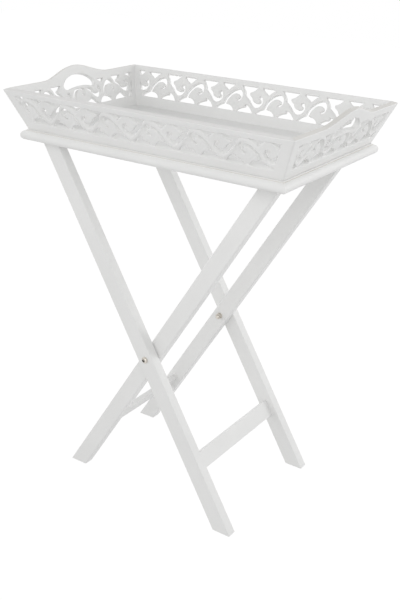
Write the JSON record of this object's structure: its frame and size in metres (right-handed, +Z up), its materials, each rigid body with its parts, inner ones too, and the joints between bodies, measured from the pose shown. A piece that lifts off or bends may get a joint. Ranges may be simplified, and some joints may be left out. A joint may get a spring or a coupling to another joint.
{
  "type": "folding tray stand",
  "caption": "White painted wooden butler's tray with flared pierced scroll sides and arched handle ends, resting on a folding X-shaped stand with pivot bolts.",
  "frame": {"origin": "on the floor, under the middle of the tray and midway between the front and back legs", "axes": "+X along the tray's long side, towards the feet of the outer legs; +Y across the tray, from the front leg pair to the back pair; +Z up"},
  "size_m": [0.5856, 0.3718, 0.7478],
  "materials": {
    "white_paint": "satin white paint",
    "bare_wood": "plain beech dowel",
    "zinc_steel": "bright zinc plate"
  },
  "bodies": {
    "outer_frame": {"outer_leg_front": "white_paint", "outer_leg_back": "white_paint", "outer_stretcher": "white_paint", "outer_top_rail": "white_paint", "outer_stretcher_dowels": "bare_wood", "outer_rail_dowels": "bare_wood", "front_pivot_bolt": "zinc_steel", "front_head_washer": "zinc_steel", "front_spacer_washer": "zinc_steel", "front_nut_washer": "zinc_steel", "front_nut": "zinc_steel", "back_pivot_bolt": "zinc_steel", "back_head_washer": "zinc_steel", "back_spacer_washer": "zinc_steel", "back_nut_washer": "zinc_steel", "back_nut": "zinc_steel"},
    "inner_frame": {"inner_leg_front": "white_paint", "inner_leg_back": "white_paint", "inner_stretcher": "white_paint", "inner_top_rail": "white_paint", "inner_stretcher_dowels": "bare_wood", "inner_rail_dowels": "bare_wood"},
    "tray": {"tray_base": "white_paint", "front_wall": "white_paint", "back_wall": "white_paint", "left_end_wall": "white_paint", "right_end_wall": "white_paint", "wall_dowels": "bare_wood", "left_cleat": "white_paint", "right_cleat": "white_paint", "cleat_screws": "zinc_steel"}
  },
  "joints": [
    {"name": "fold", "type": "hinge", "parent": "outer_frame", "child": "inner_frame", "pos_m": [0, 0, 0.28], "axis": [0, -1, 0], "range_deg": [0, 56.5]},
    {"name": "tray_lift", "type": "slide", "parent": "outer_frame", "child": "tray", "axis": [0, 0, 1], "range_m": [0, 0.25]}
  ],
  "couplings": [
    {"joint": "tray_lift", "follows": "fold", "m_per_rad": 0.25}
  ]
}
